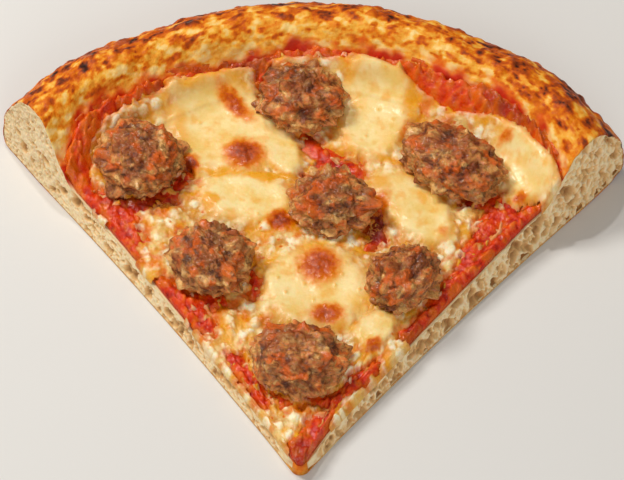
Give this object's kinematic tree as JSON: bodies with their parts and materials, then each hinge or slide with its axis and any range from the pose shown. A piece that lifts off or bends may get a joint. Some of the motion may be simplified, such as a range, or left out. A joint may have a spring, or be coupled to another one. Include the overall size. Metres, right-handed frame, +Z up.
{
  "type": "cheese and sausage pizza slice",
  "caption": "Wedge-shaped pizza slice with a puffy baked crust, tomato sauce, pools of melted mozzarella and craggy chunks of sausage, ready to eat.",
  "frame": {"origin": "middle of the slice's plan, on its flat underside", "axes": "+Z up through the toppings, +Y from the tip towards the crust, +X to the right when the tip is nearest"},
  "size_m": [0.1761, 0.1534, 0.0264],
  "materials": {
    "baked_dough": "dry baked crust, golden with brown blisters, pale crumb where cut",
    "tomato_sauce": "wet and lumpy with a soft gloss",
    "melted_mozzarella": "smooth and oily with browned spots",
    "cooked_sausage": "rough and grainy with a slight grease sheen"
  },
  "bodies": {
    "root": {"dough": "baked_dough", "tomato_sauce": "tomato_sauce", "mozzarella_back_left": "melted_mozzarella", "mozzarella_back_right": "melted_mozzarella", "mozzarella_right": "melted_mozzarella", "mozzarella_middle_right": "melted_mozzarella", "mozzarella_middle": "melted_mozzarella", "mozzarella_left": "melted_mozzarella", "mozzarella_front": "melted_mozzarella", "mozzarella_front_right": "melted_mozzarella", "mozzarella_front_left": "melted_mozzarella", "mozzarella_tip": "melted_mozzarella", "sausage_left": "cooked_sausage", "sausage_back": "cooked_sausage", "sausage_right": "cooked_sausage", "sausage_middle": "cooked_sausage", "sausage_front_left": "cooked_sausage", "sausage_front_right": "cooked_sausage", "sausage_tip": "cooked_sausage"}
  },
  "joints": []
}
